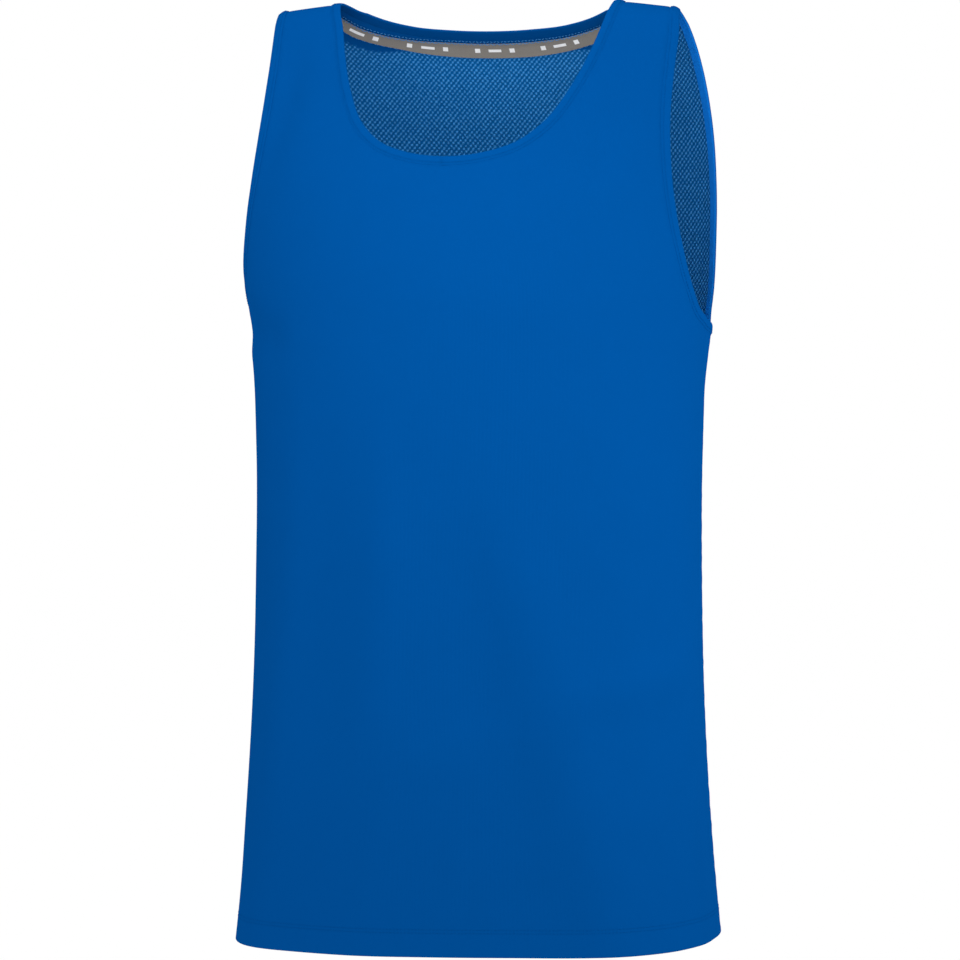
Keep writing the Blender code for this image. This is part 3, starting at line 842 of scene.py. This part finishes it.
ringTurn, ringDrop = neckRing()
neckFrame = seamFrame(ringTurn, ringDrop, np.array(seams["neckMiddle"]))
behind = ease((-np.cos(ringTurn) - binding["napeFrom"][0]) / binding["napeFrom"][1])
neckWidth = binding["width"] + (binding["napeWidth"] - binding["width"]) * behind
neckCurl = 0 * ringTurn
neckBand = makeBinding("neck_band", neckFrame, neckWidth, neckCurl, neckKnit)
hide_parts("neck_binding")

armBands = {}
for sideName, side in (("left", 1), ("right", -1)):
    ringTurn, ringDrop = armholeRing(side)
    armFrame = seamFrame(ringTurn, ringDrop, np.array(seams["armholeMiddle"]) * (side, 1, 1))
    curl = binding["shoulderCurl"] * np.exp(-(ringDrop / binding["curlDeep"]) ** 2)
    armWidth = 0 * ringTurn + binding["width"]
    band = makeBinding("arm_band_" + sideName, armFrame, armWidth, curl, armKnit)
    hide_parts("armhole_binding_" + sideName)
    armBands[sideName] = (band, armFrame, curl)


# Places on the body beside a line, found in short steps along the surface's two directions.
def beside(turn, drop, way, distance, steps=4, small=1e-4):
    for _ in range(steps):
        here = bodyPoint(turn, drop)
        along = (bodyPoint(turn + small, drop) - here) / small
        down = (bodyPoint(turn, drop + small) - here) / small
        aa, ad, dd = (along * along).sum(1), (along * down).sum(1), (down * down).sum(1)
        ra, rd = (along * way).sum(1), (down * way).sum(1)
        scale = distance / steps / (aa * dd - ad * ad)
        turn = turn + (ra * dd - rd * ad) * scale
        drop = drop + (rd * aa - ra * ad) * scale
    return turn, drop


# A row of stitches along a line: each an arch of thread out of the cloth and back, on four rings, and turned
# across the line by the swing, one way and the other.
def stitchRow(name, line, normals, kind, material, slot):
    pitch, long, thick, swing, off = stitches[kind]
    place = lengthAlong(line)
    count = int(place[-1] / pitch)
    middle = (np.arange(count) + 0.5) * place[-1] / count
    ahead, wide, high = (np.array(stitches[key]) for key in ("ahead", "wide", "high"))
    at = middle[:, None] + long * ahead
    spine = np.stack([np.interp(at, place, line[:, k]) for k in range(3)], -1)
    out = unit(np.stack([np.interp(at, place, normals[:, k]) for k in range(3)], -1))
    way = unit(spine[:, -1] - spine[:, 0])[:, None]
    across = unit(np.cross(out, np.broadcast_to(way, out.shape)))
    swing = swing * np.where(np.arange(count) % 2, 1, -1)[:, None] * ahead
    rise = thick * high + off
    spine = spine + across * swing[..., None] + out * rise[..., None]
    angle = np.arange(6) * np.pi / 3
    ring = across[:, :, None] * np.cos(angle)[:, None] + out[:, :, None] * np.sin(angle)[:, None]
    points = spine[:, :, None] + ring * (thick / 2 * wide)[:, None, None]
    number = np.arange(points[..., 0].size).reshape(count, 4, 6)
    number = join([number, number[..., :1]], -1)
    quads = np.stack([number[:, :-1, :-1], number[:, 1:, :-1], number[:, 1:, 1:], number[:, :-1, 1:]], -1)
    places = np.stack(np.broadcast_arrays(at[..., None], angle * thick / 2), -1)
    piece = makePiece(name, points, quads, places, material)
    return piece


# Lines along the tape, which follows the back neck seam. Each is named by its part of the width and how far
# beyond that it lies. Start and width are running means.
def tapeGrid(parts):
    turn, drop = neckSeam(True)
    turn = join([turn[::-1], 2 * np.pi - turn[1:]])
    drop = join([drop[::-1], drop[1:]])
    points = bodyPoint(turn, drop)
    normals = outward(bodyPoint, turn, drop)
    away = unit(np.cross(np.gradient(points, axis=0), normals))
    away *= np.sign(np.sum(away * (points - seams["neckMiddle"]), axis=1).sum())
    start, width = (np.interp(points[:, 0], tape["places"], tape[key]) for key in ("starts", "widths"))
    count = tape["mean"]
    start, width = (np.convolve(np.pad(line, count // 2, "edge"), np.full(count, 1 / count), "valid")
                    for line in (start, width))
    rows = []
    for part, beyond in parts:
        stripTurn, stripDrop = beside(turn, drop, away, start + part * width + beyond)
        rows.append((bodyPoint(stripTurn, stripDrop), outward(bodyPoint, stripTurn, stripDrop)))
    along = lengthAlong(points)
    return *map(np.stack, zip(*rows)), along - along[-1] / 2, width


# The woven strip: a closed wall inside the panel, thicker at its two edges by a power of the place across.
def makeTape():
    parts = np.linspace(0, 1, tape["lines"])
    points, normals, along, width = tapeGrid([(part, 0.0) for part in parts])
    high, low, over = tape["deep"]
    deep = (high + (low - high) * ease(parts / over))[:, None, None]
    rise, power = tape["edgeRise"]
    crown = (rise * np.abs(2 * parts - 1)**power)[:, None, None]
    outer = points - normals * deep
    inner = points - normals * (deep + tape["thick"] + crown)
    quads = gridQuads(np.arange(parts.size * along.size).reshape(parts.size, -1))[:, ::-1]
    solid, sides = closedWall(outer, inner, quads)
    places = np.stack(np.broadcast_arrays(along, (0.5 - parts)[:, None] * width), -1)
    piece = makePiece("neck_tape_weave", solid, sides, join([places, places]), greyTape, 50)
    return piece, inner, -normals


neckTape, tapeFace, tapeOut = makeTape()
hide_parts("neck_tape")

stitches = {
    # pitch, length, thickness, swing across the line, and height off it
    "hem": (0.0028, 0.0022, 0.00032, 0.0, 0.0),
    "binding": (0.0026, 0.0020, 0.00030, 0.0, 0.00058),
    "tapeEdge": (0.0026, 0.0024, 0.0007, 0.0016, 0.0),
    "nape": (0.0028, 0.0019, 0.0007, 0.0008, 0.0),
    # a stitch's four rings: place in parts of its length, width and height in parts of its thickness
    "ahead": (-0.5, -0.25, 0.25, 0.5),
    "wide": (0.35, 1.0, 1.0, 0.35),
    "high": (-0.3, 0.25, 0.25, -0.3),
    "fromSeam": 0.0014,  # how far into the binding its stitches lie
    "aboveTape": -0.0014, "belowTape": 0.0004,  # where the rows beside the tape lie
    "offPanel": 0.0004,  # how far those stand off the panel
}
frontStitches, backStitches = (
    [stitchRow(name + "_hem_stitches_" + str(k + 1), *line, "hem", blueThread, "front_knit")
     for k, line in enumerate(lines)] for name, lines in (("front", frontHem), ("back", backHem)))


# A binding's stitches follow its seam, a little way into it, and close the ring.
def bindingStitches(name, seam, curl):
    points, normals, inward = (join([part, part[:1]]) for part in seam)
    bend = np.append(curl, curl[0])[:, None] * stitches["fromSeam"]**2
    line = points + inward * stitches["fromSeam"] - normals * bend
    return stitchRow(name, line, normals, "binding", blueThread, "binding_knit")


neckStitches = bindingStitches("neck_band_stitches", neckFrame, neckCurl)
armStitches = {key: bindingStitches("arm_band_stitches_" + key, seam, curl)
               for key, (_, seam, curl) in armBands.items()}
# Along the tape: one row on its upper edge, one just below its lower edge, one in the smooth strip above it.
rowPoints, rowNormals, _, _ = tapeGrid([(0.0, stitches["aboveTape"]), (1.0, stitches["belowTape"])])
rowPoints = rowPoints - rowNormals * (panel["wall"] + stitches["offPanel"])
tapeStitches = [stitchRow("tape_stitches_" + place, line, out, "tapeEdge", lightThread, "tape")
                for place, line, out in (("upper", tapeFace[0], tapeOut[0]),
                                         ("lower", rowPoints[1], -rowNormals[1]))]
napeStitches = stitchRow("nape_stitches", rowPoints[0], -rowNormals[0], "nape", lightThread, "tape")

studio = {
    "floorHeight": -1.45,  # a standing wearer's shoulders are this far up
    "floorSize": 60.0,
    "floorSurface": {"Base Color": (1.0, 1.0, 1.0), "Roughness": 0.9},
    "sky": 1.0,
    "lamps": [  # place, width, power, aim
        ((0.05, -0.65, -0.20), 0.5, 1.35, (0, 0, -0.10)),
        ((0.35, -0.50, -0.20), 0.5, 0.30, (0, 0, -0.10)),
        ((0.65, -0.05, -0.35), 0.5, 1.40, (0, 0, -0.25)),
        ((0.05, -0.30, 0.30), 0.5, 1.00, (0, 0, -0.25)),
        ((-0.50, -0.50, 0.30), 0.5, 0.70, (0, 0, -0.25)),
    ],
}


# The floor, an even white sky, and round lamps, each turned to its aim.
def makeStudio():
    half = studio["floorSize"] / 2
    mesh = bpy.data.meshes.new("floor")
    corners = [(x * half, y * half, studio["floorHeight"]) for x, y in ((-1, -1), (1, -1), (1, 1), (-1, 1))]
    mesh.from_pydata(corners, [], [(0, 1, 2, 3)])
    mesh.materials.append(startMaterial("pale floor", studio["floorSurface"]))
    floor = addObject("floor", mesh)
    world = bpy.data.worlds.new("studio")
    world.use_nodes = True
    sky = world.node_tree.nodes["Background"]
    sky.inputs["Color"].default_value = (1, 1, 1, 1)
    sky.inputs["Strength"].default_value = studio["sky"]
    bpy.context.scene.world = world
    for index, (place, width, power, aim) in enumerate(studio["lamps"]):
        light = bpy.data.lights.new("soft lamp " + str(index + 1), "AREA")
        light.shape = "DISK"
        light.size = width
        light.energy = power
        lamp = addObject(light.name, light)
        lamp.matrix_world = lookAt(np.array(place), np.array(aim))
        lamp.visible_camera = False


# A placing that looks from one place at another, upright but for the roll.
def lookAt(place, aim, roll=0.0):
    ahead = unit(aim - place)
    right = unit(np.cross(ahead, (0, 0, 1)))
    up = np.cross(right, ahead)
    right, up = right * np.cos(roll) + up * np.sin(roll), up * np.cos(roll) - right * np.sin(roll)
    matrix = np.eye(4)
    matrix[:3, 0], matrix[:3, 1], matrix[:3, 2], matrix[:3, 3] = right, up, -ahead, place
    return Matrix(matrix.tolist())


view = {
    "round": 15.0,  # degrees round towards the wearer's left
    "distance": 3.4,
    "height": -0.20,
    "pan": -0.05366,
    "tilt": 2.78972,  # degrees down
    "roll": 0.17817,
    "lens": 164.89,
}


# The camera: round by the turn, at the distance and height, aimed by the pan, tilt and roll.
def makeCamera():
    turn, pan, tilt = (np.radians(view[key]) for key in ("round", "pan", "tilt"))
    place = np.array([view["distance"] * np.sin(turn), -view["distance"] * np.cos(turn), view["height"]])
    ahead = np.array([-np.sin(turn + pan) * np.cos(tilt), np.cos(turn + pan) * np.cos(tilt), -np.sin(tilt)])
    lens = bpy.data.cameras.new("camera")
    lens.lens = view["lens"]
    lens.sensor_width = 36.0
    lens.clip_end = 100.0
    camera = addObject("camera", lens)
    camera.matrix_world = lookAt(place, place + ahead, np.radians(view["roll"]))
    bpy.context.scene.camera = camera
    bpy.context.scene.view_settings.view_transform = "Standard"


makeStudio()
makeCamera()
print("studio and camera made")
